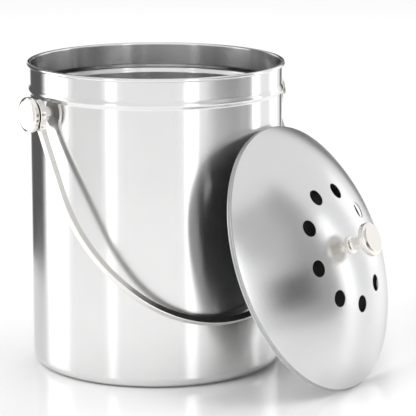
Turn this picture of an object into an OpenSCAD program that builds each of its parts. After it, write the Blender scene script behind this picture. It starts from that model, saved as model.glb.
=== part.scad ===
// Countertop compost caddy: a drawn steel bin with a swing handle,
// and its domed, vented lid leaning against the front of the bin.
// Millimetres, +Z up. Origin: centre of the bin's base, on the worktop.
// X runs along the handle's pivot axis, and the handle hangs towards -Y.

/* [Bin] */
// Outer radius of the bin's wall
body_r = 87.5; // [70:0.5:120]
// Thickness of the drawn steel sheet
wall = 0.8; // [0.5:0.1:1.5]
// Height of the middle of the rolled rim above the base
curl_z = 210.3; // [195:0.5:280]
// Radius of the rolled rim's round section
curl_r = 1.4; // [1.2:0.1:2.2]
// Distance of the raised bead below the middle of the rim
bead_drop = 17; // [8:0.5:17.5]
// How far the bead stands out from the wall
bead_out = 1.1; // [0.5:0.1:1.6]
// Radius of the bead's section
bead_section_r = 3; // [2.5:0.1:5]
// Radius of the rounded foot
foot_r = 7; // [4:0.5:14]

/* [Handle] */
// Distance of the pivots below the middle of the rim
pivot_drop = 28.1; // [25:0.1:60]
// Length of the handle's straight legs, from the pivot down
leg_len = 59.8; // [45:0.1:70]
// Radius of the bend at each side of the bow
side_bend_r = 111.5; // [105:0.5:125]
// Angle over which each side bend runs
side_turn = 45; // [30:1:55]
// Width of the handle's bar, from its front face to its back
bar_w = 5; // [4:0.1:8]
// Thickness of the handle's bar
bar_t = 4.4; // [3:0.1:5]
// Bevel along the bar's edges
bar_bevel = 0.5; // [0.2:0.05:0.8]
// Radius of the round eye at each end of the bar
eye_r = 10.4; // [8:0.1:11]
// Length over which the eye narrows to the bar
eye_neck = 3.5; // [2:0.5:10]
// Angle at which the bar's shoulders leave the eye
eye_shoulder = 55; // [40:1:65]
// Air between the resting handle and the wall
handle_gap = 0.4; // [0.3:0.05:1]

/* [Pivots] */
// Length of the spacer bush between wall and eye
bush_len = 4.85; // [4.5:0.05:8]
// Outer radius of the spacer bush
bush_r = 4.5; // [4.2:0.1:6]
// Radius of the cap's neck that the eye turns on
neck_r = 4; // [3.5:0.1:4.1]
// Air between neck and eye, on the radius
eye_play = 0.3; // [0.2:0.05:0.6]
// Air on each face of the eye
eye_side_play = 0.25; // [0.2:0.05:0.5]
// Thickness of the black nylon washer
nylon_t = 1.3; // [0.8:0.1:2]
// Radius of the nylon washer
nylon_r = 9.6; // [6:0.1:10]
// Air between the nylon washer and the neck
nylon_play = 0.1; // [0.05:0.05:0.3]
// Radius of the pivot cap
cap_r = 12.1; // [10:0.1:14]
// Thickness of the pivot cap
cap_t = 4.7; // [3.5:0.1:7]
// Width of the bevels and steps turned on the caps and the knob
step = 1.3; // [0.8:0.1:1.6]
// Radius of the screw shanks
screw_r = 2.5; // [1.5:0.1:2.6]
// Air around a screw shank
screw_play = 0.1; // [0.05:0.05:0.3]
// Radius of the screw heads
head_r = 4.6; // [4:0.1:6]
// Height of the screw heads
head_h = 2.2; // [1.5:0.1:3]
// Radius of the steel washers under the screw heads
washer_r = 6.5; // [5.5:0.1:9]
// Thickness of the steel washers under the screw heads
washer_t = 1; // [0.8:0.1:2]

/* [Lid] */
// Air between the lid's hem and the bin's rolled rim when the lid is on
lid_play = 0.5; // [0.3:0.1:1]
// Radius of the hem's round section
hem_r = 1.1; // [0.9:0.1:1.5]
// Height of the upright skirt above the bottom of the hem
skirt_h = 2.6; // [2.3:0.1:4]
// Height of the dome's top above the bottom of the hem
dome_h = 34.5; // [30:0.5:50]
// Outer radius of the shoulder between skirt and dome
shoulder_r = 1.5; // [1.3:0.1:3]
// Thickness of the lid's sheet
lid_t = 0.8; // [0.5:0.1:1.2]
// Number of vent holes
vents = 9; // [3:1:12]
// Radius of one vent hole
vent_r = 5.7; // [3:0.1:7]
// Radius of the ring of vent holes
vent_ring_r = 39.9; // [32:0.1:50]

/* [Lid at rest] */
// Angle between the leaning lid and the upright wall
lean = 21.7; // [15:0.1:30]
// Direction in which the lid stands, from the pivot axis
lid_azimuth = -64.6; // [-120:0.1:-50]
// Air between the leaning lid and the wall
lean_gap = 0.3; // [0.2:0.05:0.6]

/* [Knob] */
// Radius of the knob's cap
knob_r = 11.4; // [9:0.1:14]
// Thickness of the knob's cap
knob_t = 5.4; // [4:0.1:8]
// Height of the stem between dome and cap
stem_h = 13.4; // [9:0.1:20]
// Radius of the stem's foot
stem_foot_r = 6; // [5:0.1:9]
// Thickness of the stem's foot
stem_foot_t = 1.6; // [1:0.1:3]
// Radius of the stem's waist
stem_r = 4; // [3.6:0.1:6]
// Radius of the stem's top flange
stem_top_r = 5.2; // [4.2:0.1:8]

/* [Filter] */
// Air between the top of the filter tray and the dome
dome_gap = 12; // [1:0.1:20]
// Thickness of the charcoal disc
filter_t = 6.5; // [4:0.5:7]
// Air around the charcoal disc
filter_play = 0.5; // [0.3:0.1:1]
// Wall thickness of the plastic filter tray
tray_t = 1.5; // [1:0.1:2]
// Width of the tray's flange
flange_w = 7.5; // [6:0.5:9]
// Height of the tray's underside above the bottom of the hem
tray_z = 4; // [3.4:0.1:4.5]
// Number of spokes in the tray's grille
spokes = 12; // [6:1:16]
// Width of the grille's spokes and rings
spoke_w = 3.5; // [2:0.5:5]
// Radius of the grille's hub
hub_r = 12; // [8:1:18]
// Number of steel tabs that hold the tray
tabs = 4; // [3:1:6]
// Angle that one tab covers
tab_angle = 12; // [6:1:20]
// Thickness of the tabs' sheet
tab_t = 0.8; // [0.6:0.1:1.2]
// Length of the ledge that a tab holds under the flange
tab_ledge = 4; // [3:0.5:5]
// Air between tab and tray
tab_play = 0.3; // [0.2:0.05:0.6]
// Angle by which the tray's notches are wider than the tabs
notch_play = 2; // [1:0.5:4]

/* [Hidden] */
$fn = 96;

// Past every cut
over = 1;
// Segments of the large circles that thin sheet and washers follow
fine = 480;
// Angle by which neighbouring arcs of one sheet run into each other
seam = 0.1;
inner_r = body_r - wall;
curl_c = inner_r + curl_r;
rim_r = curl_c + curl_r;
rim_top = curl_z + curl_r;
bead_z = curl_z - bead_drop;
pivot_z = curl_z - pivot_drop;
bead_c = body_r + bead_out - bead_section_r;
bore_r = screw_r + screw_play;
// Width of the slit where the rim's roll ends
roll_slit = wall / 2;
// Depths of a cap's blind thread and of the screw in it
thread_share = 0.5;
grip_share = 0.33;
// Radius of the crowned screw head and depth of its cross recess
crown_r = head_r + head_h / 2;
recess = head_h / 2;

// Stations along the pivot axis, from the bin's middle outwards
bush_end = body_r + bush_len;
eye_in = bush_end + eye_side_play;
eye_out = eye_in + bar_t;
nylon_in = eye_out + eye_side_play;
cap_in = nylon_in + nylon_t;
cap_out = cap_in + cap_t;

// The bow: two legs, two side bends and a tighter bend at the bottom
leg_x = eye_in + bar_t / 2;
bend_x = side_bend_r - leg_x;
bottom_r = side_bend_r - bend_x / cos(side_turn);
bottom_z = -leg_len - bend_x * tan(side_turn);
// Angle and depth by which the side bends sink into their neighbours
lap_turn = 0.1;
lap_step = 0.02;
// The resting handle leans out until its back edge meets the wall
back_reach = bottom_r - bottom_z - bar_t / 2;
rest_angle = asin((body_r + handle_gap) / norm([back_reach, bar_w / 2]))
    + atan2(bar_w / 2, back_reach);

// The lid's edge is set from the rim that it covers
hem_c = rim_r + lid_play + hem_r;
lid_r = hem_c + hem_r;
shoulder_c = lid_r - shoulder_r;
dome_rise = dome_h - skirt_h;
dome_r = (shoulder_c * shoulder_c + dome_rise * dome_rise - shoulder_r * shoulder_r)
    / (2 * (dome_rise - shoulder_r));
dome_c = dome_h - dome_r;
dome_edge = atan2(shoulder_c, skirt_h - dome_c);
dome_in = dome_r - lid_t;
// Where the leaning lid's hem meets the wall and the worktop
lean_x = body_r + lean_gap + hem_r + hem_c * sin(lean) - hem_r * cos(lean);
lean_z = hem_r + hem_c * cos(lean) - hem_r * sin(lean);

function dome_z_at(x, r) = dome_c + sqrt(r * r - x * x);
function dome_x_at(z, r) = sqrt(r * r - (z - dome_c) * (z - dome_c));

// Stack of the filter and its tray inside the dome
tray_r = dome_x_at(tray_z + tray_t + filter_t, dome_in) - dome_gap;
cup_r = tray_r - tray_t;
filter_r = cup_r - filter_play;
flange_r = tray_r + flange_w;
tab_in = flange_r + tab_play;
tab_low = tray_z - tab_play - tab_t;

// Stack of the knob
stem_base = dome_z_at(0, dome_r);
knob_base = stem_base + stem_h;
under_dome = dome_z_at(0, dome_in);

// Cylinder along X between two stations
module along_x(x0, x1, r) {
    translate([x0, 0, 0])
        rotate([0, 90, 0])
            cylinder(h = x1 - x0, r = r);
}

// Puts a piece made on the pivot axis at the left or right pivot
module at_pivot(side) {
    translate([0, 0, pivot_z])
        rotate([0, 0, side < 0 ? 180 : 0])
            children();
}

// Puts a piece made on the lid's own axis where the lid leans
module at_lean() {
    rotate([0, 0, lid_azimuth])
        translate([lean_x, 0, lean_z])
            rotate([0, 90 - lean, 0])
                children();
}

// Round sheet strip of one radius, in the half plane
module ring_section(x, z, r, t) {
    translate([x, z])
        difference() {
            circle(r = r, $fn = fine);
            circle(r = r - t, $fn = fine);
        }
}

module bin_outer_section() {
    square([body_r - foot_r, curl_z]);
    translate([0, foot_r])
        square([body_r, curl_z - foot_r]);
    translate([body_r - foot_r, foot_r])
        circle(r = foot_r);
    translate([bead_c, bead_z])
        circle(r = bead_section_r);
}

module bin_inner_section() {
    translate([0, wall])
        square([body_r - foot_r, rim_top]);
    translate([0, foot_r])
        square([inner_r, rim_top]);
    translate([body_r - foot_r, foot_r])
        circle(r = foot_r - wall);
    translate([bead_c, bead_z])
        circle(r = bead_section_r - wall);
}

module bin_section() {
    difference() {
        bin_outer_section();
        bin_inner_section();
    }
    // Rolled rim with a slit under it where the roll ends
    difference() {
        ring_section(curl_c, curl_z, curl_r, wall);
        translate([body_r, curl_z - curl_r])
            square([roll_slit, curl_r]);
    }
}

module bin_shell() {
    color("silver")
        difference() {
            rotate_extrude()
                bin_section();
            translate([0, 0, pivot_z])
                along_x(-body_r - over, body_r + over, bore_r);
        }
}

// Bevelled section of the bar, thickness along X
module bar_section(less = 0) {
    x = bar_t / 2 - less;
    y = bar_w / 2 - less;
    b = bar_bevel;
    polygon([
        [x - b, -y], [x, b - y], [x, y - b], [x - b, y],
        [b - x, y], [-x, y - b], [-x, b - y], [b - x, -y]
    ]);
}

// Leg, eye and the shoulder between them on one side
module handle_end() {
    shoulder_y = eye_r * cos(eye_shoulder);
    shoulder_z = -eye_r * sin(eye_shoulder);
    translate([leg_x, 0, -leg_len])
        linear_extrude(leg_len)
            bar_section();
    along_x(eye_in, eye_out, eye_r);
    translate([eye_in, 0, 0])
        rotate([90, 0, 90])
            linear_extrude(bar_t)
                polygon([
                    [-shoulder_y, shoulder_z],
                    [-bar_w / 2, -eye_r - eye_neck],
                    [bar_w / 2, -eye_r - eye_neck],
                    [shoulder_y, shoulder_z]
                ]);
}

// One bend of the bow about a centre in the handle's plane
module bow_bend(x, z, r, start, turn, less = 0) {
    translate([x, 0, z])
        rotate([-90, 0, 0])
            rotate([0, 0, start])
                rotate_extrude(angle = turn)
                    translate([r, 0])
                        bar_section(less);
}

// Side bend, its ends lapped into the leg and the bottom bend
module side_bend(x, start) {
    bow_bend(x, -leg_len, side_bend_r, start - lap_turn, side_turn + 2 * lap_turn, lap_step);
}

// Steel bar bent to a bow between two legs with flattened eyes
module handle() {
    color("gainsboro")
        translate([0, 0, pivot_z])
            rotate([-rest_angle, 0, 0])
                difference() {
                    union() {
                        for (side = [0, 180])
                            rotate([0, 0, side])
                                handle_end();
                        side_bend(-bend_x, 0);
                        side_bend(bend_x, 180 - side_turn);
                        bow_bend(0, bottom_z, bottom_r, side_turn, 180 - 2 * side_turn);
                    }
                    along_x(-cap_out, cap_out, neck_r + eye_play);
                }
}

// Turned bush, hollowed at one end to sit on the round wall
module spacer_bush(side) {
    color("gainsboro")
        difference() {
            at_pivot(side)
                difference() {
                    along_x(inner_r, bush_end, bush_r);
                    along_x(0, cap_out, bore_r);
                }
            cylinder(h = rim_top, r = body_r, $fn = fine);
        }
}

module nylon_washer(side) {
    color("dimgray")
        at_pivot(side)
            difference() {
                along_x(nylon_in, cap_in, nylon_r);
                along_x(0, cap_out, neck_r + nylon_play);
            }
}

// Turned cap whose neck carries the handle's eye and meets the bush
module pivot_cap(side) {
    blind = cap_in + cap_t * thread_share;
    color("whitesmoke")
        at_pivot(side)
            rotate([0, 90, 0])
                rotate_extrude()
                    polygon([
                        [bore_r, bush_end], [neck_r, bush_end],
                        [neck_r, cap_in], [cap_r - step, cap_in],
                        [cap_r, cap_in + step / 2], [cap_r, cap_out - step],
                        [cap_r - step, cap_out - step / 4],
                        [cap_r - step - step / 2, cap_out],
                        [0, cap_out], [0, blind], [bore_r, blind]
                    ]);
}

// Washer pressed to the round of the wall's inside
module backing_washer(side) {
    color("silver")
        intersection() {
            at_pivot(side)
                difference() {
                    along_x(inner_r - washer_t, body_r, washer_r);
                    along_x(0, cap_out, bore_r);
                }
            cylinder(h = rim_top, r = inner_r, $fn = fine);
        }
}

// Domed screw head on its washer, with the shank along +Z and a cross recess
module screw(shank) {
    slot_w = screw_r / 3;
    difference() {
        union() {
            cylinder(h = shank, r = screw_r);
            intersection() {
                translate([0, 0, -head_h])
                    cylinder(h = head_h, r = head_r);
                translate([0, 0, crown_r - head_h])
                    sphere(r = crown_r);
            }
        }
        for (turn = [0, 90])
            rotate([0, 0, turn])
                translate([-screw_r, -slot_w / 2, -head_h - over])
                    cube([2 * screw_r, slot_w, over + recess]);
    }
}

module pivot_screw(side) {
    seat = inner_r - washer_t;
    color("silver")
        at_pivot(side)
            translate([seat, 0, 0])
                rotate([0, 90, 0])
                    screw(cap_in + cap_t * grip_share - seat);
}

// Section of the lid: dome, rounded shoulder, upright skirt and rolled hem
module lid_section() {
    far = 2 * dome_r;
    intersection() {
        ring_section(0, dome_c, dome_r, lid_t);
        polygon([
            [0, dome_c],
            [far * sin(dome_edge + seam), dome_c + far * cos(dome_edge + seam)],
            [0, far]
        ]);
    }
    intersection() {
        ring_section(shoulder_c, skirt_h, shoulder_r, lid_t);
        polygon([
            [shoulder_c, skirt_h],
            [shoulder_c + far * sin(dome_edge), skirt_h + far * cos(dome_edge)],
            [shoulder_c + far, skirt_h]
        ]);
    }
    translate([lid_r - lid_t, hem_r])
        square([lid_t, skirt_h - hem_r]);
    translate([hem_c, hem_r])
        circle(r = hem_r);
}

module lid_shell() {
    tilt = asin(vent_ring_r / dome_r);
    color("silver")
        at_lean()
            difference() {
                rotate_extrude()
                    lid_section();
                for (i = [0:vents - 1])
                    rotate([0, 0, i * 360 / vents])
                        translate([0, 0, dome_c])
                            rotate([0, tilt, 0])
                                translate([0, 0, dome_r / 2])
                                    cylinder(h = dome_r, r = vent_r);
                cylinder(h = dome_h + over, r = bore_r);
            }
}

// Turned spool between dome and knob cap, hollowed to sit on the dome
module knob_stem() {
    waist = stem_base + stem_foot_t;
    top = knob_base - stem_foot_t;
    color("whitesmoke")
        at_lean()
            difference() {
                rotate_extrude()
                    polygon([
                        [bore_r, dome_c + dome_in], [stem_foot_r, dome_c + dome_in],
                        [stem_foot_r, waist], [stem_r + step / 2, waist + step / 2],
                        [stem_r, waist + step * 2], [stem_r, top - step],
                        [stem_top_r, top], [stem_top_r, knob_base], [bore_r, knob_base]
                    ]);
                translate([0, 0, dome_c])
                    sphere(r = dome_r, $fn = fine);
            }
}

module knob_cap() {
    top = knob_base + knob_t;
    blind = knob_base + knob_t * thread_share;
    color("whitesmoke")
        at_lean()
            rotate_extrude()
                polygon([
                    [bore_r, knob_base], [knob_r - step, knob_base],
                    [knob_r, knob_base + step / 2], [knob_r, top - step * 2],
                    [knob_r - step / 2, top - step],
                    [knob_r - step, top - step / 4],
                    [knob_r - step - step / 2, top],
                    [0, top], [0, blind], [bore_r, blind]
                ]);
}

// Washer cupped to the dome's inside
module knob_washer() {
    color("silver")
        at_lean()
            intersection() {
                translate([0, 0, under_dome - washer_t])
                    difference() {
                        cylinder(h = washer_t + over, r = washer_r);
                        translate([0, 0, -over])
                            cylinder(h = washer_t + 3 * over, r = bore_r);
                    }
                translate([0, 0, dome_c])
                    sphere(r = dome_in, $fn = fine);
            }
}

module knob_screw() {
    seat = under_dome - washer_t;
    color("silver")
        at_lean()
            translate([0, 0, seat])
                screw(knob_base + knob_t * grip_share - seat);
}

// Steel tabs welded to the dome's inside, with a ledge under the tray's flange
module filter_tabs() {
    leg_top = dome_z_at(tab_in + tab_t, dome_in) + over;
    color("silver")
        at_lean()
            for (i = [0:tabs - 1])
                rotate([0, 0, (i + 0.5) * 360 / tabs])
                    intersection() {
                        rotate_extrude(angle = tab_angle)
                            union() {
                                translate([tab_in, tab_low])
                                    square([tab_t, leg_top - tab_low]);
                                translate([tab_in + tab_t - tab_ledge, tab_low])
                                    square([tab_ledge, tab_t]);
                            }
                        translate([0, 0, dome_c])
                            sphere(r = dome_in);
                    }
}

// Grille of spokes between the hub, a middle ring and the cup's wall
module tray_grille() {
    ring_mid = (hub_r + cup_r) / 2;
    cylinder(h = tray_t, r = hub_r);
    difference() {
        cylinder(h = tray_t, r = ring_mid + spoke_w / 2);
        translate([0, 0, -over])
            cylinder(h = tray_t + 2 * over, r = ring_mid - spoke_w / 2);
    }
    for (i = [0:spokes - 1])
        rotate([0, 0, i * 360 / spokes])
            translate([0, -spoke_w / 2, 0])
                cube([cup_r + tray_t / 2, spoke_w, tray_t]);
}

// Black plastic tray that twists in above the tabs and carries the charcoal
module filter_tray() {
    cup_h = tray_t + filter_t;
    color("dimgray")
        at_lean()
            translate([0, 0, tray_z]) {
                tray_grille();
                difference() {
                    union() {
                        cylinder(h = tray_t, r = flange_r);
                        cylinder(h = cup_h, r = tray_r);
                    }
                    translate([0, 0, -over])
                        cylinder(h = cup_h + 2 * over, r = cup_r);
                    // Notches that pass the tabs before the tray is turned
                    for (i = [0:tabs - 1])
                        rotate([0, 0, i * 360 / tabs])
                            translate([0, 0, -over])
                                rotate_extrude(angle = tab_angle + notch_play)
                                    translate([tab_in - tab_ledge, 0])
                                        square([tab_ledge + tab_t + over, tray_t + 2 * over]);
                }
            }
}

module charcoal_filter() {
    color("black")
        at_lean()
            translate([0, 0, tray_z + tray_t])
                cylinder(h = filter_t, r = filter_r);
}

bin_shell();
handle();
spacer_bush(-1);  // left_spacer_bush
spacer_bush(1);  // right_spacer_bush
nylon_washer(-1);  // left_nylon_washer
nylon_washer(1);  // right_nylon_washer
pivot_cap(-1);  // left_pivot_cap
pivot_cap(1);  // right_pivot_cap
backing_washer(-1);  // left_backing_washer
backing_washer(1);  // right_backing_washer
pivot_screw(-1);  // left_pivot_screw
pivot_screw(1);  // right_pivot_screw
lid_shell();
knob_stem();
knob_cap();
knob_washer();
knob_screw();
filter_tabs();
filter_tray();
charcoal_filter();
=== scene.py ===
import math

import bpy
import numpy as np
from mathutils import Matrix, Vector


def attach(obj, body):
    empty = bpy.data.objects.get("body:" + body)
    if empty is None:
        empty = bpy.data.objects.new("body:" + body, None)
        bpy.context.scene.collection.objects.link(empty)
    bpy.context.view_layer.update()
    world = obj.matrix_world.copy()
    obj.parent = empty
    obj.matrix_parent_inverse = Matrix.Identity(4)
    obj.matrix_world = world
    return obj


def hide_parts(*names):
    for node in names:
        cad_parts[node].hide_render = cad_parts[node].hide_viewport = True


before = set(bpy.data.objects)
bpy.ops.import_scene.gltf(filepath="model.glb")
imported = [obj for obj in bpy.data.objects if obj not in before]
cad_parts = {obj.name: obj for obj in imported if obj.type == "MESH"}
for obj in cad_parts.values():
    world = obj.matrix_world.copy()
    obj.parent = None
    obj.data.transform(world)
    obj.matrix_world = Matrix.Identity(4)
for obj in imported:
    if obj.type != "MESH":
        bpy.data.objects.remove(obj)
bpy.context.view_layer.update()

scene = bpy.context.scene
scene.view_settings.view_transform = "Standard"

# Camera: eye level a little above the caddy, from its left front, through a long lens.
# The picture is square, 416 by 416.
camera_data = bpy.data.cameras.new("camera")
camera_data.sensor_width = 36
camera_data.lens = 194.085
camera_data.clip_end = 20
camera = bpy.data.objects.new("camera", camera_data)
scene.collection.objects.link(camera)
camera.location = (-0.81682, -1.30718, 0.4339)
looking = Vector((0.53763, 0.81719, -0.20778))
camera.rotation_euler = looking.to_track_quat("-Z", "Y").to_euler()
scene.camera = camera
camera_azimuth = -32.0

# Table: a pale glossy sheet a hair under the base, which keeps the caddy's shadow. It is white
# for the camera and in mirrors, and greyer for the light that it throws back at the caddy.


def mesh_object(name, mesh, material):
    """An object at the origin, unturned and unscaled, with one material."""
    made = bpy.data.objects.new(name, mesh)
    mesh.materials.append(material)
    scene.collection.objects.link(made)
    return made


def new_material(name):
    """A node material with only a Principled shader and its output."""
    material = bpy.data.materials.new(name)
    material.use_nodes = True
    shader = next(n for n in material.node_tree.nodes if n.type == "BSDF_PRINCIPLED")
    return material, material.node_tree, shader


def background_rays(tree):
    """1 for camera, glossy and transmission rays, which see the background, and 0 for others."""
    rays = tree.nodes.new("ShaderNodeLightPath")
    seen = tree.nodes.new("ShaderNodeMath")
    seen.operation = "MAXIMUM"
    seen_through = tree.nodes.new("ShaderNodeMath")
    seen_through.operation = "MAXIMUM"
    tree.links.new(rays.outputs["Is Camera Ray"], seen.inputs[0])
    tree.links.new(rays.outputs["Is Glossy Ray"], seen.inputs[1])
    tree.links.new(seen.outputs[0], seen_through.inputs[0])
    tree.links.new(rays.outputs["Is Transmission Ray"], seen_through.inputs[1])
    return seen_through.outputs[0]


table_material, tree, shader = new_material("pale_table")
shader.inputs["Roughness"].default_value = 0.14
shader.inputs["IOR"].default_value = 1.45
shade = tree.nodes.new("ShaderNodeMix")
shade.data_type = "RGBA"
bounce_grey, table_white = 0.45, 0.98
shade.inputs["A"].default_value = (bounce_grey, bounce_grey, bounce_grey, 1)
shade.inputs["B"].default_value = (table_white, table_white, table_white, 1)
tree.links.new(background_rays(tree), shade.inputs["Factor"])
tree.links.new(shade.outputs["Result"], shader.inputs["Base Color"])
table_mesh = bpy.data.meshes.new("table")
table_half, table_z = 6.0, -0.0002
table_mesh.from_pydata(
    [(-table_half, -table_half, table_z), (table_half, -table_half, table_z),
     (table_half, table_half, table_z), (-table_half, table_half, table_z)],
    [], [(0, 1, 2, 3)])
table = mesh_object("table", table_mesh, table_material)

# Studio: an even white room and three soft lamps light the caddy. Soft boxes and grey boards
# stand round it. Only mirror rays see those: they are what the polished steel mirrors.
world = bpy.data.worlds.new("studio")
scene.world = world
world.use_nodes = True
tree = world.node_tree
level = tree.nodes.new("ShaderNodeMapRange")
level.inputs["To Min"].default_value = 0.7
level.inputs["To Max"].default_value = 1.0
room = next(n for n in tree.nodes if n.type == "BACKGROUND")
room.inputs["Color"].default_value = (1, 1, 1, 1)
tree.links.new(background_rays(tree), level.inputs["Value"])
tree.links.new(level.outputs[0], room.inputs["Strength"])


def soft_lamp(name, azimuth, height, distance, size, power):
    """A square area lamp at an azimuth from the camera's side, turned to the caddy's middle.
    No mirror shows it."""
    middle = Vector((0, 0, 0.1))
    data = bpy.data.lights.new(name, "AREA")
    data.size = size
    data.energy = power
    lamp = bpy.data.objects.new(name, data)
    a = math.radians(camera_azimuth + azimuth)
    lamp.location = (distance * math.sin(a), -distance * math.cos(a), height)
    lamp.rotation_euler = (middle - lamp.location).to_track_quat("-Z", "Y").to_euler()
    scene.collection.objects.link(lamp)
    lamp.visible_glossy = False


soft_lamp("key_lamp", -50, 1.6, 1.5, 1.2, 17)
soft_lamp("fill_lamp", 60, 1.6, 1.5, 1.2, 12)
soft_lamp("back_lamp", 180, 1.8, 1.5, 1.2, 12)


def board(name, start, end, low, high, distance, value, soft, end_soft=None):
    """A curved board round the caddy, from start to end in azimuth from the camera's side and
    from low to high. Its light is value. It fades in over soft degrees, and out over the same
    or end_soft."""
    least_fade = 1e-6
    a = np.radians(camera_azimuth + np.linspace(start, end, 24))
    x, y = distance * np.sin(a), -distance * np.cos(a)
    points = np.stack([np.tile(x, 2), np.tile(y, 2), np.repeat([low, high], len(a))], 1)
    i = np.arange(len(a) - 1)
    faces = np.stack([i, i + 1, i + 1 + len(a), i + len(a)], 1)
    mesh = bpy.data.meshes.new(name)
    mesh.from_pydata(points.tolist(), [], faces.tolist())
    across = mesh.attributes.new("across", "FLOAT", "POINT")
    turn = np.tile(np.linspace(start, end, len(a)), 2)
    out_over = soft if end_soft is None else end_soft
    edge = np.minimum((turn - start) / max(soft, least_fade),
                      (end - turn) / max(out_over, least_fade))
    across.data.foreach_set("value", np.clip(edge, 0, 1))
    material = bpy.data.materials.new(name)
    material.use_nodes = True
    nodes = material.node_tree.nodes
    nodes.clear()
    light = nodes.new("ShaderNodeEmission")
    light.inputs["Strength"].default_value = value
    clear = nodes.new("ShaderNodeBsdfTransparent")
    fade = nodes.new("ShaderNodeAttribute")
    fade.attribute_name = "across"
    mix = nodes.new("ShaderNodeMixShader")
    end_node = nodes.new("ShaderNodeOutputMaterial")
    link = material.node_tree.links.new
    link(fade.outputs["Fac"], mix.inputs[0])
    link(clear.outputs[0], mix.inputs[1])
    link(light.outputs[0], mix.inputs[2])
    link(mix.outputs[0], end_node.inputs["Surface"])
    made = mesh_object(name, mesh, material)
    made.visible_camera = False
    made.visible_diffuse = False
    made.visible_shadow = False
    made.visible_transmission = False


# Each board's start and end in degrees, low, high and distance in metres, light, and fades.
board("front_board", -33, 23.4, 0.0, 1.2, 0.62, 1.0, 6)
board("left_strip", -43.5, -32.5, 0.0, 0.45, 0.6, 2.2, 4.5)
board("right_strip", 22.5, 36.5, 0.0, 0.45, 0.6, 2.6, 5)
board("left_board", -79.6, -43.8, 0.0, 1.2, 0.62, 0.86, 4)
board("left_soft_box", -113, -81, 0.0, 0.4, 0.6, 2.2, 3)
board("left_black_board", -152, -108, 0.0, 0.9, 0.35, 0.12, 6)
board("left_rear_board", -180, -163, 0.24, 1.2, 0.9, 0.03, 0)
board("right_white_board", 32, 92, 0.0, 0.08, 0.64, 1.0, 2)
board("right_low_board", 36, 90, 0.0, 0.08, 0.62, 0.45, 34, 4)
board("right_grey_board", 40, 96, 0.0, 1.12, 0.95, 0.46, 34, 5)
board("right_dark_board", 42, 80, 0.08, 0.3, 0.86, 0.11, 12)
board("upper_grey_board", 34, 76, 0.5, 1.12, 0.9, 0.64, 8)
board("right_soft_box", 92, 104, 0.0, 0.5, 0.9, 2.0, 2)
board("back_soft_box", 119, 139, 0.0, 0.4, 0.9, 1.5, 3)
board("back_board", 145, 163, 0.0, 1.2, 0.9, 0.12, 6)
board("right_rear_board", 163, 180, 0.24, 1.2, 0.9, 0.12, 0)

# Bin: a deep-drawn stainless pail, brushed round its height and wiped clean. The wall has one
# rolled bead, the rim is curled outwards, and the foot turns in on a soft radius.


def corner(before, at, after, radius, steps=8):
    """Rows (r, z, normal r, normal z) of the arc that rounds a profile's corner: its centre lies
    on the bisector, and it touches both sides at radius times the tangent of half the turn."""
    p0, p, p1 = (np.asarray(q, float) for q in (before, at, after))
    u = (p - p0) / np.linalg.norm(p - p0)
    v = (p1 - p) / np.linalg.norm(p1 - p)
    turn = math.atan2(u[0] * v[1] - u[1] * v[0], u @ v)
    start = p - u * radius * math.tan(abs(turn) / 2)
    side = math.copysign(1.0, turn)
    inward = side * np.array([-u[1], u[0]])
    centre = start + inward * radius
    a = np.linspace(0, turn, steps + 1)
    out = -inward
    spoke = np.stack([out[0] * np.cos(a) - out[1] * np.sin(a),
                      out[0] * np.sin(a) + out[1] * np.cos(a)], 1)
    return np.hstack([centre + spoke * radius, spoke])


def profile(corners, closed=False):
    """A profile through corners (r, z, radius), each rounded by its radius. An open profile's
    first and last corners are its plain ends, with the normals of the straights beside them."""
    least_radius = 2e-5
    pts = [np.array(c[:2], float) for c in corners]
    rows = []
    count = len(corners)
    for i in range(count):
        if not closed and i in (0, count - 1):
            step = pts[1] - pts[0] if i == 0 else pts[-1] - pts[-2]
            step = step / np.linalg.norm(step)
            rows.append([[*pts[i], step[1], -step[0]]])
            continue
        before, after = pts[i - 1], pts[(i + 1) % count]
        arc = corner(before, pts[i], after, max(corners[i][2], least_radius))
        u = (pts[i] - before) / np.linalg.norm(pts[i] - before)
        outward = np.array([u[1], -u[0]])
        if arc[0, 2:] @ outward < 0:
            arc[:, 2:] *= -1
        rows.append(arc)
    rows = np.vstack(rows)
    return np.vstack([rows, rows[:1]]) if closed else rows


def welded(name, points, quads, normals):
    """A mesh of a surface's points. Points that coincide at seams and poles become one, and a
    quad that loses a corner there becomes a triangle."""
    merge_within = 1e-6
    key = np.round(points / merge_within).astype(np.int64)
    _, first, where = np.unique(key, axis=0, return_index=True, return_inverse=True)
    faces = where.reshape(-1)[quads]
    kept = faces != np.roll(faces, 1, axis=1)
    whole = kept.sum(1) > 2
    faces, kept = faces[whole], kept[whole]
    loops = faces[kept]
    starts = np.concatenate([[0], np.cumsum(kept.sum(1))[:-1]])
    mesh = bpy.data.meshes.new(name)
    mesh.vertices.add(len(first))
    mesh.vertices.foreach_set("co", points[first].ravel())
    mesh.loops.add(len(loops))
    mesh.loops.foreach_set("vertex_index", loops)
    mesh.polygons.add(len(starts))
    mesh.polygons.foreach_set("loop_start", starts)
    mesh.update(calc_edges=True)
    mesh.validate()
    mesh.shade_smooth()
    mesh.normals_split_custom_set_from_vertices(normals[first].tolist())
    return mesh


def grid_quads(rows, columns):
    """Corner numbers of the quads of a grid kept row by row; its last column is its first."""
    i, j = np.meshgrid(np.arange(rows - 1), np.arange(columns), indexing="ij")
    k = (j + 1) % columns
    return np.stack([i * columns + j, i * columns + k,
                     (i + 1) * columns + k, (i + 1) * columns + j], -1).reshape(-1, 4)


def axes_of(axis):
    """Two directions across an axis that make a right-handed frame with it."""
    axis = np.asarray(axis, float) / np.linalg.norm(axis)
    first = np.cross((0, 1, 0) if abs(axis[1]) < 0.9 else (1, 0, 0), axis)
    first /= np.linalg.norm(first)
    return first, np.cross(axis, first), axis


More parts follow.
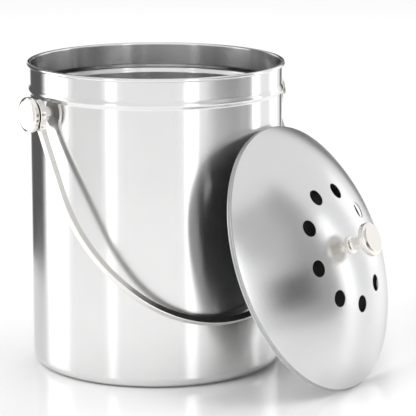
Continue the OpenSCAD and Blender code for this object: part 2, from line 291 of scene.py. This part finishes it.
def turned(name, rows, sides=96, origin=(0, 0, 0), axis=(0, 0, 1)):
    """A lathe surface. Each profile row goes round the axis in equal steps:
    point = origin + first r cos a + second r sin a + axis z, and its normal likewise."""
    first, second, along = axes_of(axis)
    a = np.linspace(0, 2 * np.pi, sides, endpoint=False)
    ring = np.cos(a)[:, None] * first + np.sin(a)[:, None] * second
    points = rows[:, 0, None, None] * ring + rows[:, 1, None, None] * along + np.asarray(origin)
    normals = rows[:, 2, None, None] * ring + rows[:, 3, None, None] * along
    return welded(name, points.reshape(-1, 3), grid_quads(len(rows), sides),
                  normals.reshape(-1, 3))


def brushed_group():
    """Brushed metal: fine lines from noise that is stretched along the brushing, with faint
    smudges over them. Gives a tone from 0 to 1, a change of roughness, and a bumped normal."""
    group = bpy.data.node_groups.new("brushed_metal", "ShaderNodeTree")
    face = group.interface
    for label, kind in (("Lines", "NodeSocketVector"), ("Place", "NodeSocketVector"),
                        ("Depth", "NodeSocketFloat")):
        face.new_socket(name=label, in_out="INPUT", socket_type=kind)
    for label, kind in (("Tone", "NodeSocketFloat"), ("Roughening", "NodeSocketFloat"),
                        ("Normal", "NodeSocketVector")):
        face.new_socket(name=label, in_out="OUTPUT", socket_type=kind)
    nodes, link = group.nodes, group.links.new
    given = nodes.new("NodeGroupInput")
    result = nodes.new("NodeGroupOutput")
    lines = nodes.new("ShaderNodeTexNoise")
    lines.inputs["Scale"].default_value = 1.0
    lines.inputs["Detail"].default_value = 4.0
    smudge = nodes.new("ShaderNodeTexNoise")
    smudge.inputs["Scale"].default_value = 22.0
    smudge.inputs["Detail"].default_value = 5.0
    smudge.inputs["Roughness"].default_value = 0.62
    centred = nodes.new("ShaderNodeMath")
    centred.operation = "SUBTRACT"
    centred.inputs[1].default_value = 0.5
    spread = nodes.new("ShaderNodeMath")
    spread.operation = "MULTIPLY_ADD"
    spread.inputs[1].default_value = 0.5
    fine_part = nodes.new("ShaderNodeMath")
    fine_part.operation = "MULTIPLY"
    fine_part.inputs[1].default_value = 0.35
    bump = nodes.new("ShaderNodeBump")
    bump.inputs["Distance"].default_value = 0.00004
    link(given.outputs["Lines"], lines.inputs["Vector"])
    link(given.outputs["Place"], smudge.inputs["Vector"])
    link(lines.outputs["Fac"], centred.inputs[0])
    link(centred.outputs[0], fine_part.inputs[0])
    link(smudge.outputs["Fac"], spread.inputs[0])
    link(fine_part.outputs[0], spread.inputs[2])
    link(lines.outputs["Fac"], bump.inputs["Height"])
    link(given.outputs["Depth"], bump.inputs["Strength"])
    link(smudge.outputs["Fac"], result.inputs["Tone"])
    link(spread.outputs[0], result.inputs["Roughening"])
    link(bump.outputs["Normal"], result.inputs["Normal"])
    return group


brushed = brushed_group()


def metal(name, dark, light, rough, spread, across, along, depth, turned_by=(0, 0, 0)):
    """A brushed metal between two tones. The lines are across per metre over the brushing and
    along per metre with it. They run round Z, or round the axis that turned_by brings to Z.
    The roughness runs from rough - spread to rough + spread."""
    material, tree, shader = new_material(name)
    nodes, link = tree.nodes, tree.links.new
    place = nodes.new("ShaderNodeTexCoord")
    local = nodes.new("ShaderNodeMapping")
    local.inputs["Rotation"].default_value = turned_by
    stretch = nodes.new("ShaderNodeVectorMath")
    stretch.operation = "MULTIPLY"
    stretch.inputs[1].default_value = (along, along, across)
    finish = nodes.new("ShaderNodeGroup")
    finish.node_tree = brushed
    finish.inputs["Depth"].default_value = depth
    tone = nodes.new("ShaderNodeMix")
    tone.data_type = "RGBA"
    tone.inputs["A"].default_value = (*dark, 1)
    tone.inputs["B"].default_value = (*light, 1)
    rough_range = nodes.new("ShaderNodeMapRange")
    rough_range.inputs["From Max"].default_value = 0.5
    rough_range.inputs["To Min"].default_value = rough - spread
    rough_range.inputs["To Max"].default_value = rough + spread
    link(place.outputs["Object"], local.inputs["Vector"])
    link(local.outputs[0], stretch.inputs[0])
    link(stretch.outputs[0], finish.inputs["Lines"])
    link(place.outputs["Object"], finish.inputs["Place"])
    link(finish.outputs["Tone"], tone.inputs["Factor"])
    link(tone.outputs["Result"], shader.inputs["Base Color"])
    link(finish.outputs["Roughening"], rough_range.inputs["Value"])
    link(rough_range.outputs[0], shader.inputs["Roughness"])
    link(finish.outputs["Normal"], shader.inputs["Normal"])
    shader.inputs["Metallic"].default_value = 1.0
    return material, shader


bin_steel, shader = metal(
    "bin_brushed_steel", (0.73, 0.73, 0.73), (0.8, 0.8, 0.795), 0.185, 0.025, 2600, 9, 0.12)
shader.inputs["Anisotropic"].default_value = 0.95
shader.inputs["Anisotropic Rotation"].default_value = 0.25
around = bin_steel.node_tree.nodes.new("ShaderNodeTangent")
around.direction_type = "RADIAL"
around.axis = "Z"
bin_steel.node_tree.links.new(around.outputs[0], shader.inputs["Tangent"])

wall_r, wall_t = 0.0875, 0.0008
foot_r = 0.007
bead_z, bead_out, bead_half = 0.1933, 0.0011, 0.0034
curl_z, curl_r = 0.2103, 0.0014
curl_c = wall_r - wall_t + curl_r


def bead_rows(r, upwards):
    """The bead as rows: r grows by the bead's height times cos squared, over its width."""
    t = np.linspace(-1, 1, 25) * (1 if upwards else -1)
    z = bead_z + t * bead_half
    out = bead_out * np.cos(np.pi * t / 2) ** 2
    slope = -bead_out * np.pi * np.sin(np.pi * t) / (2 * bead_half)
    n = np.stack([np.ones_like(t), -slope], 1) * (1 if upwards else -1)
    n /= np.linalg.norm(n, axis=1)[:, None]
    return np.hstack([np.stack([r + out, z], 1), n])


foot = corner((0, 0), (wall_r, 0), (wall_r, curl_z), foot_r, 14)
# The curl starts at the wall's outer face under the roll, goes round outside and over, and
# ends on the wall's inner face.
under = math.acos((wall_r - curl_c) / curl_r)
under_z = curl_z - curl_r * math.sin(under)
round_turn = np.linspace(-under, np.pi, 44)
curl = np.stack([curl_c + curl_r * np.cos(round_turn), curl_z + curl_r * np.sin(round_turn),
                 np.cos(round_turn), np.sin(round_turn)], 1)
inner = wall_r - wall_t
inner_foot = np.hstack([np.array([wall_r - foot_r, foot_r]) + (foot_r - wall_t) * foot[:, 2:],
                        -foot[:, 2:]])
hair = 0.0001
bin_rows = np.vstack([
    [[0, 0, 0, -1]], foot, bead_rows(wall_r, True),
    [[wall_r, under_z - hair, 1, 0]], curl,
    bead_rows(inner, False), inner_foot[::-1],
    [[0, wall_t, 0, 1]],
])
bin_piece = mesh_object("brushed_bin", turned("brushed_bin", bin_rows, 320), bin_steel)
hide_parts("bin_shell")
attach(bin_piece, "bin")

# Handle: a solid steel bar, bevelled and bent to a bow. Each leg is flattened to a round eye
# that turns on the neck of its cap. Polished warmer and brighter than the pail.
pivot_z = 0.1822
bar_w, bar_t, bar_edge = 0.005, 0.0044, 0.0006
leg_x, leg_len = 0.0948, 0.0598
side_r, side_turn = 0.1115, math.radians(45)
bend_x = side_r - leg_x
bottom_r = side_r - bend_x / math.cos(side_turn)
bottom_z = -leg_len - bend_x * math.tan(side_turn)
eye_r, eye_hole, eye_end = 0.0104, 0.0043, 0.016
# At rest the bow hangs against the wall, with a gap before its lowest inner edge.
handle_gap, lap = 0.0004, 0.0003
back_reach = bottom_r - bottom_z - bar_t / 2
rest_turn = (math.asin((wall_r + handle_gap) / math.hypot(back_reach, bar_w / 2))
             + math.atan2(bar_w / 2, back_reach))


def tilted(points):
    """Handle coordinates to the caddy's: turned about the pivots by the resting lean."""
    c, s = math.cos(-rest_turn), math.sin(-rest_turn)
    x, y, z = np.moveaxis(points, -1, 0)
    return np.stack([x, y * c - z * s, y * s + z * c], -1)


def swept_bar(path, out):
    """The bar's bevelled section carried along a path in the handle's plane:
    point = path + out times the section's thickness + Y times its width."""
    section = profile([(bar_t / 2, -bar_w / 2, bar_edge), (bar_t / 2, bar_w / 2, bar_edge),
                       (-bar_t / 2, bar_w / 2, bar_edge), (-bar_t / 2, -bar_w / 2, bar_edge)],
                      closed=True)[:-1]
    side = np.array([0.0, 1.0, 0.0])
    points = path[:, None] + section[:, 0, None] * out[:, None] + section[:, 1, None] * side
    normals = section[:, 2, None] * out[:, None] + section[:, 3, None] * side
    middles = np.broadcast_to(path[[0, -1], None], (2, *points.shape[1:]))
    return (np.concatenate([middles[:1], points, middles[1:]]),
            np.concatenate([normals[:1], normals, normals[-1:]]))


# The legs run a little way into their eyes.
down = np.linspace(-eye_end + lap, -leg_len, 12)[:-1]
right_leg = np.stack([np.full(len(down), leg_x), 0 * down, down], 1)
turn = np.linspace(0, side_turn, 25)[:-1]
right_side = np.stack([side_r * np.cos(turn) - bend_x, 0 * turn,
                       -leg_len - side_r * np.sin(turn)], 1)
low_turn = np.linspace(side_turn, np.pi - side_turn, 61)
low = np.stack([bottom_r * np.cos(low_turn), 0 * low_turn,
                bottom_z - bottom_r * np.sin(low_turn)], 1)
mirror = np.array([-1.0, 1.0, 1.0])
path = np.vstack([right_leg, right_side, low, (right_side * mirror)[::-1],
                  (right_leg * mirror)[::-1]])
out_leg = np.tile([1.0, 0, 0], (len(down), 1))
out_side = np.stack([np.cos(turn), 0 * turn, -np.sin(turn)], 1)
out_low = np.stack([np.cos(low_turn), 0 * low_turn, -np.sin(low_turn)], 1)
out = np.vstack([out_leg, out_side, out_low, (out_side * mirror)[::-1],
                 (out_leg * mirror)[::-1]])
bar_points, bar_normals = swept_bar(path, out)
bar_rows, bar_columns = bar_points.shape[:2]


def eye_plate(side):
    """One flattened eye: rings between its hole and its outline, round both edges. The outline
    is the eye's circle, a fillet of 6 mm to each side of the leg, and the leg's end."""
    fillet, cut_points = 0.006, 7
    half = bar_w / 2
    fillet_z = -math.sqrt((eye_r + fillet) ** 2 - (half + fillet) ** 2)
    touch = math.atan2(fillet_z, half + fillet)
    t = np.linspace(touch, math.pi - touch, 73)
    circle = np.stack([eye_r * np.cos(t), eye_r * np.sin(t), np.cos(t), np.sin(t)], 1)
    f = np.linspace(math.pi, touch + math.pi, 13)[:-1]
    bend = np.stack([half + fillet + fillet * np.cos(f), fillet_z + fillet * np.sin(f),
                     -np.cos(f), -np.sin(f)], 1)
    end = np.array([[half, -eye_end, 1, 0]])
    cut_y = np.linspace(-half + bar_edge, half - bar_edge, cut_points)
    cut = np.stack([cut_y, np.full(cut_points, -eye_end), 0 * cut_y, 0 * cut_y], 1)
    flip = np.array([-1, 1, -1, 1])
    outline = np.vstack([end, bend, circle, (bend * flip)[::-1], end * flip, cut])
    spoke = np.arctan2(outline[:, 1], outline[:, 0])
    ring = np.stack([np.cos(spoke), np.sin(spoke)], 1)
    q = np.linspace(0, np.pi / 2, 5)
    rows = []
    for level, turns in ((1, q), (-1, q[::-1])):
        for b in turns:
            flat = outline[:, :2] - outline[:, 2:] * bar_edge * (1 - math.cos(b))
            x = np.full(len(outline), level * (bar_t / 2 - bar_edge * (1 - math.sin(b))))
            x[-cut_points:] = level * bar_t / 2
            n = np.hstack([np.full((len(outline), 1), level * math.sin(b)),
                           outline[:, 2:] * math.cos(b)])
            rows.append((np.column_stack([x, flat]), n))
    outside, inside = rows[:len(q)], rows[len(q):]
    faces = []
    for level, (rim_points, _) in ((1, outside[-1]), (-1, inside[0])):
        for share in (0.25, 0.5, 0.75):
            rim = rim_points[:, 1:]
            hole = ring * (eye_hole + bar_edge / 2)
            flat = rim * (1 - share) + hole * share
            x = np.full(len(outline), level * bar_t / 2)
            faces.append((np.column_stack([x, flat]),
                          np.tile([level, 0.0, 0.0], (len(outline), 1))))
    bore = []
    for level, turns in ((1, q[::-1]), (-1, q)):
        for b in turns:
            r = eye_hole + bar_edge / 2 * (1 - math.cos(b))
            x = np.full(len(outline), level * (bar_t / 2 - bar_edge / 2 * (1 - math.sin(b))))
            n = np.hstack([np.full((len(outline), 1), level * math.sin(b)),
                           -ring * math.cos(b)])
            bore.append((np.column_stack([x, ring * r]), n))
    order = outside + faces[:3] + bore + faces[3:][::-1] + inside + outside[:1]
    points = np.array([p for p, _ in order])
    normals = np.array([n for _, n in order])
    points[..., 0] += leg_x * side
    length = np.linalg.norm(normals, axis=-1, keepdims=True)
    normals = np.where(length > 0, normals / np.maximum(length, 1e-9), (0, 0, -1.0))
    return points, normals


def joined(name, parts):
    """One mesh of several surfaces, each given as its points, quads and normals."""
    shift = np.cumsum([0] + [len(p) for p, _, _ in parts])
    return welded(name, np.vstack([p for p, _, _ in parts]),
                  np.vstack([q + s for (_, q, _), s in zip(parts, shift)]),
                  np.vstack([n for _, _, n in parts]))


def face_places(mesh):
    """The normal and the centre of each face."""
    facing = np.empty(len(mesh.polygons) * 3)
    centre = facing.copy()
    mesh.polygons.foreach_get("normal", facing)
    mesh.polygons.foreach_get("center", centre)
    return facing.reshape(-1, 3), centre.reshape(-1, 3)


bar_quads = grid_quads(bar_rows, bar_columns)
handle_parts = [(tilted(bar_points).reshape(-1, 3), bar_quads[:, ::-1],
                 tilted(bar_normals).reshape(-1, 3))]
for side in (-1, 1):
    eye_points, eye_normals = eye_plate(side)
    handle_parts.append((tilted(eye_points).reshape(-1, 3),
                         grid_quads(*eye_points.shape[:2]),
                         tilted(eye_normals).reshape(-1, 3)))
handle_mesh = joined("bow_handle", handle_parts)
handle_mesh.transform(Matrix.Translation((0, 0, pivot_z)))
along_bar = (rest_turn + math.pi / 2, 0, 0)
nickel, _ = metal(
    "polished_nickel_steel", (0.83, 0.81, 0.78), (0.88, 0.865, 0.84), 0.16, 0.04, 1800, 12, 0.1,
    along_bar)
handle_piece = mesh_object("bow_handle", handle_mesh, nickel)
# Painted shade: the bow's inner faces, towards the wall, get a much darker copy of the same
# steel.
painted_shade_nickel, _ = metal(
    "inner_face_painted_shade", (0.34, 0.335, 0.33), (0.42, 0.415, 0.41), 0.36, 0.06, 1800, 12, 0.2,
    along_bar)
handle_mesh.materials.append(painted_shade_nickel)
# A rougher, darker copy of the steel, whose dark colour is painted shade from the wall it faces,
# lies on the eyes' inner faces and, between these columns of the bar's section, on the bar's
# inner face with half of its bevels.
first_inner, last_inner, facing_in = 23, 30, -0.8
facing, centre = face_places(handle_mesh)
inwards = facing[:, 0] * np.sign(centre[:, 0]) < facing_in
column = np.arange(len(bar_quads)) % bar_columns
inwards[:len(bar_quads)] = (column >= first_inner) & (column <= last_inner)
handle_mesh.polygons.foreach_set("material_index", inwards.astype(np.int32))
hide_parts("handle")
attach(handle_piece, "handle")

# Pivots: on each side a turned cap, a nylon washer and a spacer bush, held from inside by a
# screw through the wall and a shaped backing washer. The washer's near-black colour is painted
# shade for the gap by the eye.
turned_steel, _ = metal(
    "turned_nickel_steel", (0.85, 0.82, 0.775), (0.91, 0.885, 0.84), 0.16, 0.03, 1400, 60, 0.05,
    (0, math.pi / 2, 0))


def dull(name, dark, light, rough, spread, grain, depth):
    """A dull material: noise of grain per metre mixes two tones, moves the roughness by spread
    to both sides and lifts the surface by depth in metres."""
    material, tree, shader = new_material(name)
    nodes, link = tree.nodes, tree.links.new
    place = nodes.new("ShaderNodeTexCoord")
    speckle = nodes.new("ShaderNodeTexNoise")
    speckle.inputs["Scale"].default_value = grain
    speckle.inputs["Detail"].default_value = 6.0
    speckle.inputs["Roughness"].default_value = 0.65
    tone = nodes.new("ShaderNodeMix")
    tone.data_type = "RGBA"
    tone.inputs["A"].default_value = (*dark, 1)
    tone.inputs["B"].default_value = (*light, 1)
    wear = nodes.new("ShaderNodeMapRange")
    wear.inputs["From Min"].default_value = 0.3
    wear.inputs["From Max"].default_value = 0.7
    wear.inputs["To Min"].default_value = rough - spread
    wear.inputs["To Max"].default_value = rough + spread
    bump = nodes.new("ShaderNodeBump")
    bump.inputs["Distance"].default_value = depth
    link(place.outputs["Object"], speckle.inputs["Vector"])
    link(speckle.outputs["Fac"], tone.inputs["Factor"])
    link(speckle.outputs["Fac"], wear.inputs["Value"])
    link(speckle.outputs["Fac"], bump.inputs["Height"])
    link(tone.outputs["Result"], shader.inputs["Base Color"])
    link(wear.outputs[0], shader.inputs["Roughness"])
    link(bump.outputs["Normal"], shader.inputs["Normal"])
    return material, shader


# Partly real, partly painted shade: a nylon washer sits here, and its near-black colour darkens
# the gap between cap and eye.
black_nylon, _ = dull(
    "black_nylon", (0.008, 0.008, 0.009), (0.02, 0.02, 0.021), 0.42, 0.08, 900, 0.00003)

cap_r, cap_edge, cap_face = 0.0121, 0.0013, 0.0097
bush_end, cap_in, cap_out, nylon_in = 0.09235, 0.09855, 0.10325, 0.09725
bush_r, neck_r, bore_r = 0.0045, 0.004, 0.0026
nylon_r, nylon_play = 0.0096, 0.0001
for side, label in ((-1, "left"), (1, "right")):
    pivot = (0, 0, pivot_z)
    axis = (side, 0, 0)
    cap_rows = profile([
        (bore_r, bush_end, 0), (neck_r, bush_end, 0.0002), (neck_r, cap_in, 0.0001),
        (cap_r - cap_edge, cap_in, 0.0003), (cap_r, cap_in + 0.0007, 0.0008),
        (cap_r, cap_out - 0.0012, 0.0008), (cap_face + 0.001, cap_out - 0.0004, 0.0012),
        (cap_face, cap_out, 0.0006), (0, cap_out, 0)])
    cap_rows = np.vstack([[[0, bush_end, 0, -1]], cap_rows])
    cap = mesh_object(label + "_turned_cap",
                      turned(label + "_turned_cap", cap_rows, 96, pivot, axis), turned_steel)
    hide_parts(label + "_pivot_cap")
    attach(cap, "bin")
    bush_rows = profile([
        (bore_r, wall_r - hair, 0.0001), (bush_r, wall_r - hair, 0.0001),
        (bush_r, bush_end, 0.0005), (bore_r, bush_end, 0.0001)], closed=True)
    bush = mesh_object(label + "_bush", turned(label + "_bush", bush_rows, 64, pivot, axis),
                       turned_steel)
    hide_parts(label + "_spacer_bush")
    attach(bush, "bin")
    washer_rows = profile([
        (neck_r + nylon_play, nylon_in, 0.0001), (nylon_r, nylon_in, 0.0003),
        (nylon_r, cap_in, 0.0003), (neck_r + nylon_play, cap_in, 0.0001)], closed=True)
    washer = mesh_object(label + "_nylon_ring",
                         turned(label + "_nylon_ring", washer_rows, 64, pivot, axis), black_nylon)
    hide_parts(label + "_nylon_washer")
    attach(washer, "bin")

# Lid: a spun steel dome with nine punched vents, a short upright skirt and a hem rolled
# inwards. It leans against the pail with its hem on the table.
lean = math.radians(21.7)
lid_turn = math.radians(-64.6)
hem_c, hem_r, skirt_h, shoulder_r, lid_t = 0.0911, 0.0011, 0.0026, 0.0015, 0.0008
lid_gap = 0.0003
lean_x = wall_r + lid_gap + hem_r + hem_c * math.sin(lean) - hem_r * math.cos(lean)
lean_z = hem_r + hem_c * math.cos(lean) - hem_r * math.sin(lean)
lid_centre = np.array([lean_x * math.cos(lid_turn), lean_x * math.sin(lid_turn), lean_z])
# Columns of the lid's own frame: X points down the lid, Z out along its axis.
axis_z = np.array([math.cos(lean) * math.cos(lid_turn), math.cos(lean) * math.sin(lid_turn),
                   math.sin(lean)])
axis_x = np.array([math.sin(lean) * math.cos(lid_turn), math.sin(lean) * math.sin(lid_turn),
                   -math.cos(lean)])
axis_y = np.cross(axis_z, axis_x)
lid_r, dome_h = hem_c + hem_r, 0.0345
shoulder_c = lid_r - shoulder_r
rise = dome_h - skirt_h
dome_r = (shoulder_c ** 2 + rise ** 2 - shoulder_r ** 2) / (2 * (rise - shoulder_r))
dome_c = dome_h - dome_r
vents, vent_r, vent_ring, lip_edge = 9, 0.0057, 0.0399, 0.00022
crease_at, crease_half, crease_depth = 0.0016, 0.0009, 0.0005


def leaned(points):
    """Lid coordinates to the caddy's, without the shift."""
    return points[..., :1] * axis_x + points[..., 1:2] * axis_y + points[..., 2:] * axis_z


def on_sphere(r, angle):
    """Direction from the dome's centre to the point at radius r and angle round the axis."""
    r, angle = np.broadcast_arrays(r, angle)
    s = r / dome_r
    return np.stack([s * np.cos(angle), s * np.sin(angle), np.sqrt(1 - s * s)], -1)


sector = 2 * np.pi / vents
per_sector, per_side = 32, 16
zone_half = 0.0088
zone_in, zone_out = vent_ring - zone_half, vent_ring + zone_half
# The dome ends where it meets the rounded shoulder above the skirt.
edge_angle = math.atan2(shoulder_c, skirt_h - dome_c)
dome_end = dome_r * math.sin(edge_angle)


def vent_sector():
    """Directions over one sector round its vent: rows go from the vent's edge out to the
    sector's border, each row a blend of the two, brought back to the sphere. Their spacing
    is crowded towards the vent."""
    half = sector / 2
    low_side = on_sphere(zone_in, np.linspace(half, -half, per_sector + 1)[:-1])
    right = on_sphere(np.linspace(zone_in, zone_out, per_side + 1)[:-1], -half)
    top = on_sphere(zone_out, np.linspace(-half, half, per_sector + 1)[:-1])
    left = on_sphere(np.linspace(zone_out, zone_in, per_side + 1)[:-1], half)
    border = np.vstack([low_side, right, top, left])
    middle = on_sphere(np.array(vent_ring), np.array(0.0))
    across = np.array([0.0, 1.0, 0.0])
    outward = np.cross(across, middle)
    spin = np.arctan2(border @ across, border @ outward)
    edge = vent_r + lip_edge
    circle = (math.cos(edge / dome_r) * middle
              + math.sin(edge / dome_r) * (np.cos(spin)[:, None] * outward
                                           + np.sin(spin)[:, None] * across))
    crowding = 1.2
    share = np.linspace(0, 1, 9)[:, None, None] ** crowding
    rows = circle * (1 - share) + border * share
    return rows / np.linalg.norm(rows, axis=-1, keepdims=True), spin, middle, outward, across


rows, spin, middle, outward, across = vent_sector()
outer_r, inner_r = dome_r, dome_r - lid_t
lid_parts = []
q = np.linspace(0, np.pi / 2, 5)
radial = np.cos(spin)[:, None] * outward + np.sin(spin)[:, None] * across


def lip(level, turns):
    """Rows of a vent's rounded edge at the outer (1) or inner (-1) face of the sheet."""
    points, normals = [], []
    for b in turns:
        r = vent_r + lip_edge * (1 - math.cos(b))
        height = (outer_r if level == 1 else inner_r) - level * lip_edge * (1 - math.sin(b))
        fall = height - r * r / (2 * dome_r)
        points.append(middle * fall + radial * r)
        normals.append(middle * level * math.sin(b) - radial * math.cos(b))
    return points, normals


high, high_n = lip(1, q[::-1][1:])
low_p, low_n = lip(-1, q[:-1])
sector_points = np.array([*(rows[::-1] * outer_r), *high, *low_p, *(rows * inner_r)])
sector_normals = np.array([*rows[::-1], *high_n, *low_n, *(-rows)])
sector_quads = grid_quads(*sector_points.shape[:2])
for k in range(vents):
    c, s = math.cos(k * sector), math.sin(k * sector)
    spun = np.array([[c, s, 0], [-s, c, 0], [0, 0, 1]])
    lid_parts.append(((sector_points @ spun).reshape(-1, 3), sector_quads,
                      (sector_normals @ spun).reshape(-1, 3)))

around_lid = (np.arange(vents * per_sector) - per_sector / 2) * (sector / per_sector)


def dome_band(radii, radius, facing):
    """A band of the dome between radii, on the sphere of that radius, facing out or in."""
    d = on_sphere(np.asarray(radii)[:, None], around_lid[None])
    return (d * radius).reshape(-1, 3), grid_quads(len(radii), len(around_lid)), \
        (d * facing).reshape(-1, 3)


inner_radii = np.linspace(0, zone_in, 20)
outer_radii = np.linspace(zone_out, dome_end, 18)
for radii in (inner_radii, outer_radii):
    p, f, n = dome_band(radii, outer_r, 1)
    lid_parts.append((p, f[:, ::-1], n))
    lid_parts.append((p * (inner_r / outer_r), f, -n))


def hem_rows():
    """The edge's section from the dome's outer side round to its inner side: the shoulder's arc,
    the upright skirt, the rolled hem, and the same arc again inside the sheet. A crease sets the
    hem off: the outer side sinks by its depth times cos squared of the way along."""
    centre = np.array([shoulder_c, skirt_h])
    arc = shoulder_r * (np.pi / 2 - edge_angle)
    way = np.linspace(0, arc + skirt_h - hem_r, 60)
    a = np.minimum(edge_angle + way / shoulder_r, np.pi / 2)
    spoke = np.stack([np.sin(a), np.cos(a)], 1)
    tangent = np.stack([np.cos(a), -np.sin(a)], 1)
    drop = np.stack([0 * way, -np.maximum(way - arc, 0)], 1)
    t = np.clip((way - crease_at) / crease_half, -1, 1)
    sunk = crease_depth * np.cos(np.pi * t / 2) ** 2
    slope = -crease_depth * np.pi * np.sin(np.pi * t) / (2 * crease_half)
    facing = spoke + slope[:, None] * tangent
    facing /= np.linalg.norm(facing, axis=1)[:, None]
    over = np.hstack([centre + spoke * (shoulder_r - sunk[:, None]) + drop, facing])
    t = np.linspace(0, -2 * np.pi + math.acos(1 - lid_t / hem_r), 32)[1:]
    round_hem = np.stack([np.cos(t), np.sin(t)], 1)
    roll = np.hstack([np.array([hem_c, hem_r]) + hem_r * round_hem, round_hem])
    a = np.linspace(np.pi / 2, edge_angle, 12)
    spoke = np.stack([np.sin(a), np.cos(a)], 1)
    under = np.hstack([centre + spoke * (shoulder_r - lid_t), -spoke])
    return np.vstack([over, roll, under])


section = hem_rows()
ring = np.stack([np.cos(around_lid), np.sin(around_lid), 0 * around_lid], 1)
up = np.array([0, 0, 1.0])
hem_points = section[:, 0, None, None] * ring + (section[:, 1, None, None] - dome_c) * up
hem_normals = section[:, 2, None, None] * ring + section[:, 3, None, None] * up
lid_parts.append((hem_points.reshape(-1, 3), grid_quads(len(section), len(around_lid))[:, ::-1],
                  hem_normals.reshape(-1, 3)))
lid_parts = [(leaned(p + np.array([0, 0, dome_c])) + lid_centre, f, leaned(n))
             for p, f, n in lid_parts]
lid_to_z = Vector(axis_z).rotation_difference(Vector((0, 0, 1))).to_euler()
lid_steel, _ = metal(
    "lid_spun_steel", (0.65, 0.65, 0.655), (0.71, 0.71, 0.71), 0.23, 0.04, 2200, 6, 0.2, lid_to_z)
lid_mesh = joined("domed_lid", lid_parts)
lid_piece = mesh_object("domed_lid", lid_mesh, lid_steel)
# Painted shade: the skirt is the dome's own sheet, given a darker copy of its steel.
skirt_painted_shade_steel, _ = metal(
    "skirt_painted_shade_steel", (0.36, 0.36, 0.365), (0.44, 0.44, 0.44), 0.3, 0.05, 2200, 6, 0.2, lid_to_z)
# Painted light: the underside of the same sheet is made lighter than the outside, standing in for
# light thrown back from the pail.
under_dome_painted_light_steel, _ = metal(
    "lid_inner_steel", (0.74, 0.74, 0.74), (0.82, 0.82, 0.82), 0.5, 0.06, 1400, 20, 0.2, lid_to_z)
lid_mesh.materials.append(skirt_painted_shade_steel)
lid_mesh.materials.append(under_dome_painted_light_steel)
# The skirt takes the second material, a copy of the lid's steel darkened as painted shade, and
# what looks down under the dome the third, a rougher copy lightened as painted bounce light.
least_outward, most_upward = 0.35, -0.2
facing, centre = face_places(lid_mesh)
centre -= lid_centre
height = centre @ axis_z
spoke = centre - height[:, None] * axis_z
reach = np.linalg.norm(spoke, axis=1)
outside = np.einsum("ij,ij->i", facing, spoke) > least_outward * reach
on_skirt = outside & (reach > dome_end) & (height > hem_r)
underneath = facing @ axis_z < most_upward
lid_mesh.polygons.foreach_set("material_index", on_skirt + 2 * underneath.astype(np.int32))
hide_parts("lid_shell")
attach(lid_piece, "lid")

# Knob: a turned spool and a flat round cap on the dome's crown, screwed on from inside.
stem_h, knob_r, knob_t = 0.0134, 0.0114, 0.0054
knob_base = dome_h + stem_h
knob_top = knob_base + knob_t
stem_rows = profile([
    (0, dome_h - 0.0005, 0), (0.006, dome_h - 0.0005, 0.0001), (0.006, dome_h + 0.0014, 0.0006),
    (0.0042, dome_h + 0.0025, 0.0008), (0.004, dome_h + 0.0039, 0.001),
    (0.004, knob_base - 0.0013, 0.001), (0.0052, knob_base - 0.0001, 0.0004),
    (0, knob_base - 0.0001, 0)])
knob_steel, _ = metal(
    "knob_nickel_steel", (0.85, 0.82, 0.775), (0.91, 0.885, 0.84), 0.16, 0.03, 1400, 60, 0.05,
    lid_to_z)
stem = mesh_object("knob_spool", turned("knob_spool", stem_rows, 64, lid_centre, axis_z),
                   knob_steel)
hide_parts("knob_stem")
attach(stem, "lid")
knob_rows = profile([
    (0, knob_base, 0), (knob_r - 0.0006, knob_base, 0.0003),
    (knob_r, knob_base + 0.0006, 0.0008), (knob_r, knob_top - 0.0012, 0.0008),
    (knob_r - 0.0012, knob_top - 0.0004, 0.0012), (knob_r - 0.002, knob_top, 0.0006),
    (0, knob_top, 0)])
knob = mesh_object("knob_disc", turned("knob_disc", knob_rows, 96, lid_centre, axis_z),
                   knob_steel)
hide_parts("knob_cap")
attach(knob, "lid")

# Fasteners and filter: plain screws and washers, spot-welded tabs, the moulded tray with its
# spokes, and the felted charcoal disc that it holds under the dome.
screw_steel, _ = metal(
    "screw_steel", (0.58, 0.58, 0.575), (0.68, 0.68, 0.67), 0.28, 0.06, 700, 90, 0.2)
tab_steel, _ = metal(
    "tab_steel", (0.56, 0.56, 0.56), (0.66, 0.66, 0.655), 0.34, 0.06, 1500, 30, 0.2)
tray_plastic, _ = dull(
    "moulded_tray_plastic", (0.02, 0.021, 0.022), (0.04, 0.041, 0.043), 0.45, 0.1, 500, 0.00005)
charcoal, shader = dull(
    "charcoal_felt", (0.004, 0.004, 0.005), (0.03, 0.03, 0.031), 0.92, 0.06, 1400, 0.0004)
shader.inputs["Sheen Weight"].default_value = 0.3
shader.inputs["Sheen Roughness"].default_value = 0.6


def finish_node(name, material):
    """Gives a carried-over solid its material in every slot."""
    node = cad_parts[name]
    if not node.material_slots:
        node.data.materials.append(material)
    for place in node.material_slots:
        place.material = material


for name in ("left_pivot_screw", "right_pivot_screw", "knob_screw",
             "left_backing_washer", "right_backing_washer", "knob_washer"):
    finish_node(name, screw_steel)
finish_node("filter_tabs", tab_steel)
finish_node("filter_tray", tray_plastic)
finish_node("charcoal_filter", charcoal)
